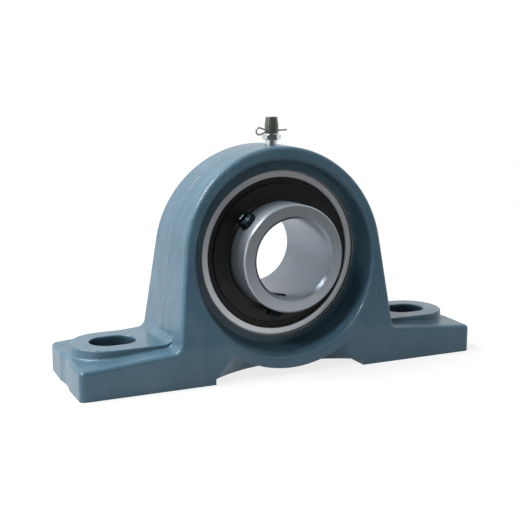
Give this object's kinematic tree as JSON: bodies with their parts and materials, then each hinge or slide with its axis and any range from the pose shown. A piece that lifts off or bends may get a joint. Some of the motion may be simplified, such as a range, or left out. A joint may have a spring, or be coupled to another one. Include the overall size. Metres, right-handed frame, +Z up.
{
  "type": "pillow block bearing",
  "caption": "Two-bolt pillow block: a cast housing whose set-screw insert bearing aligns itself in a round seat, with a capped grease nipple on top.",
  "frame": {"origin": "middle of the base's underside, midway between the two bolt slots", "axes": "+X along the base, +Z up, -Y to the front, where the inner ring's long end and set screws are; the shaft runs along Y"},
  "size_m": [0.245, 0.0685, 0.1442],
  "materials": {
    "housing_paint": "slate-blue enamel over a sand casting",
    "ring_steel": "ground bearing steel",
    "ball_steel": "polished bearing steel",
    "cage_steel": "pressed sheet steel",
    "seal_rubber": "black nitrile rubber",
    "flinger_black": "dark coated sheet steel",
    "screw_black": "black oxide",
    "zinc": "zinc plated",
    "spring_steel": "spring steel",
    "cap_olive": "dark olive moulded plastic",
    "pin_steel": "zinc-plated wire"
  },
  "bodies": {
    "housing_body": {"housing": "housing_paint", "nipple_body": "zinc", "nipple_spring": "spring_steel"},
    "insert_body": {"outer_ring": "ring_steel", "seal_front": "seal_rubber", "seal_rear": "seal_rubber"},
    "shaft_body": {"inner_ring": "ring_steel", "flinger_front": "flinger_black", "flinger_rear": "flinger_black"},
    "cage_body": {"cage_front": "cage_steel", "cage_rear": "cage_steel", "cage_rivets": "cage_steel"},
    "ball_1_body": {"ball_1": "ball_steel"},
    "ball_2_body": {"ball_2": "ball_steel"},
    "ball_3_body": {"ball_3": "ball_steel"},
    "ball_4_body": {"ball_4": "ball_steel"},
    "ball_5_body": {"ball_5": "ball_steel"},
    "ball_6_body": {"ball_6": "ball_steel"},
    "ball_7_body": {"ball_7": "ball_steel"},
    "ball_8_body": {"ball_8": "ball_steel"},
    "screw_1_body": {"set_screw_1": "screw_black"},
    "screw_2_body": {"set_screw_2": "screw_black"},
    "valve_body": {"nipple_ball": "ball_steel"},
    "cap_body": {"nipple_cap": "cap_olive"},
    "pin_body": {"split_pin": "pin_steel"}
  },
  "joints": [
    {"name": "insert_tilt", "type": "hinge", "parent": "housing_body", "child": "insert_body", "pos_m": [0, 0, 0.067], "axis": [1, 0, 0], "range_deg": [-2, 2]},
    {"name": "shaft_turn", "type": "hinge", "parent": "insert_body", "child": "shaft_body", "pos_m": [0, 0, 0.067], "axis": [0, 1, 0], "continuous": true},
    {"name": "cage_turn", "type": "hinge", "parent": "insert_body", "child": "cage_body", "pos_m": [0, 0, 0.067], "axis": [0, 1, 0], "continuous": true},
    {"name": "ball_1_spin", "type": "hinge", "parent": "cage_body", "child": "ball_1_body", "pos_m": [0, 0, 0.10325], "axis": [0, 1, 0], "continuous": true},
    {"name": "ball_2_spin", "type": "hinge", "parent": "cage_body", "child": "ball_2_body", "pos_m": [-0.02563, 0, 0.09263], "axis": [0, 1, 0], "continuous": true},
    {"name": "ball_3_spin", "type": "hinge", "parent": "cage_body", "child": "ball_3_body", "pos_m": [-0.03625, 0, 0.067], "axis": [0, 1, 0], "continuous": true},
    {"name": "ball_4_spin", "type": "hinge", "parent": "cage_body", "child": "ball_4_body", "pos_m": [-0.02563, 0, 0.04137], "axis": [0, 1, 0], "continuous": true},
    {"name": "ball_5_spin", "type": "hinge", "parent": "cage_body", "child": "ball_5_body", "pos_m": [0, 0, 0.03075], "axis": [0, 1, 0], "continuous": true},
    {"name": "ball_6_spin", "type": "hinge", "parent": "cage_body", "child": "ball_6_body", "pos_m": [0.02563, 0, 0.04137], "axis": [0, 1, 0], "continuous": true},
    {"name": "ball_7_spin", "type": "hinge", "parent": "cage_body", "child": "ball_7_body", "pos_m": [0.03625, 0, 0.067], "axis": [0, 1, 0], "continuous": true},
    {"name": "ball_8_spin", "type": "hinge", "parent": "cage_body", "child": "ball_8_body", "pos_m": [0.02563, 0, 0.09263], "axis": [0, 1, 0], "continuous": true},
    {"name": "set_screw_1_travel", "type": "slide", "parent": "shaft_body", "child": "screw_1_body", "axis": [-0.7431, 0, 0.6691], "range_m": [-0.001, 0.005]},
    {"name": "set_screw_2_travel", "type": "slide", "parent": "shaft_body", "child": "screw_2_body", "axis": [-0.2079, 0, -0.9781], "range_m": [-0.001, 0.005]},
    {"name": "valve_lift", "type": "slide", "parent": "housing_body", "child": "valve_body", "axis": [0, 0, -1], "range_m": [0, 0.0006], "stiffness_N_per_m": 100, "springref_m": -0.002, "deforming": ["nipple_spring"]},
    {"name": "cap_turn", "type": "hinge", "parent": "housing_body", "child": "cap_body", "pos_m": [0, -0.004, 0.14], "axis": [0, 0, 1], "continuous": true},
    {"name": "pin_pull", "type": "slide", "parent": "cap_body", "child": "pin_body", "axis": [-0.9993, 0, -0.0384], "range_m": [0, 0.012]}
  ],
  "couplings": [
    {"joint": "cage_turn", "follows": "shaft_turn", "ratio": 0.37957},
    {"joint": "ball_1_spin", "follows": "shaft_turn", "ratio": -1.9555},
    {"joint": "ball_2_spin", "follows": "shaft_turn", "ratio": -1.9555},
    {"joint": "ball_3_spin", "follows": "shaft_turn", "ratio": -1.9555},
    {"joint": "ball_4_spin", "follows": "shaft_turn", "ratio": -1.9555},
    {"joint": "ball_5_spin", "follows": "shaft_turn", "ratio": -1.9555},
    {"joint": "ball_6_spin", "follows": "shaft_turn", "ratio": -1.9555},
    {"joint": "ball_7_spin", "follows": "shaft_turn", "ratio": -1.9555},
    {"joint": "ball_8_spin", "follows": "shaft_turn", "ratio": -1.9555}
  ]
}
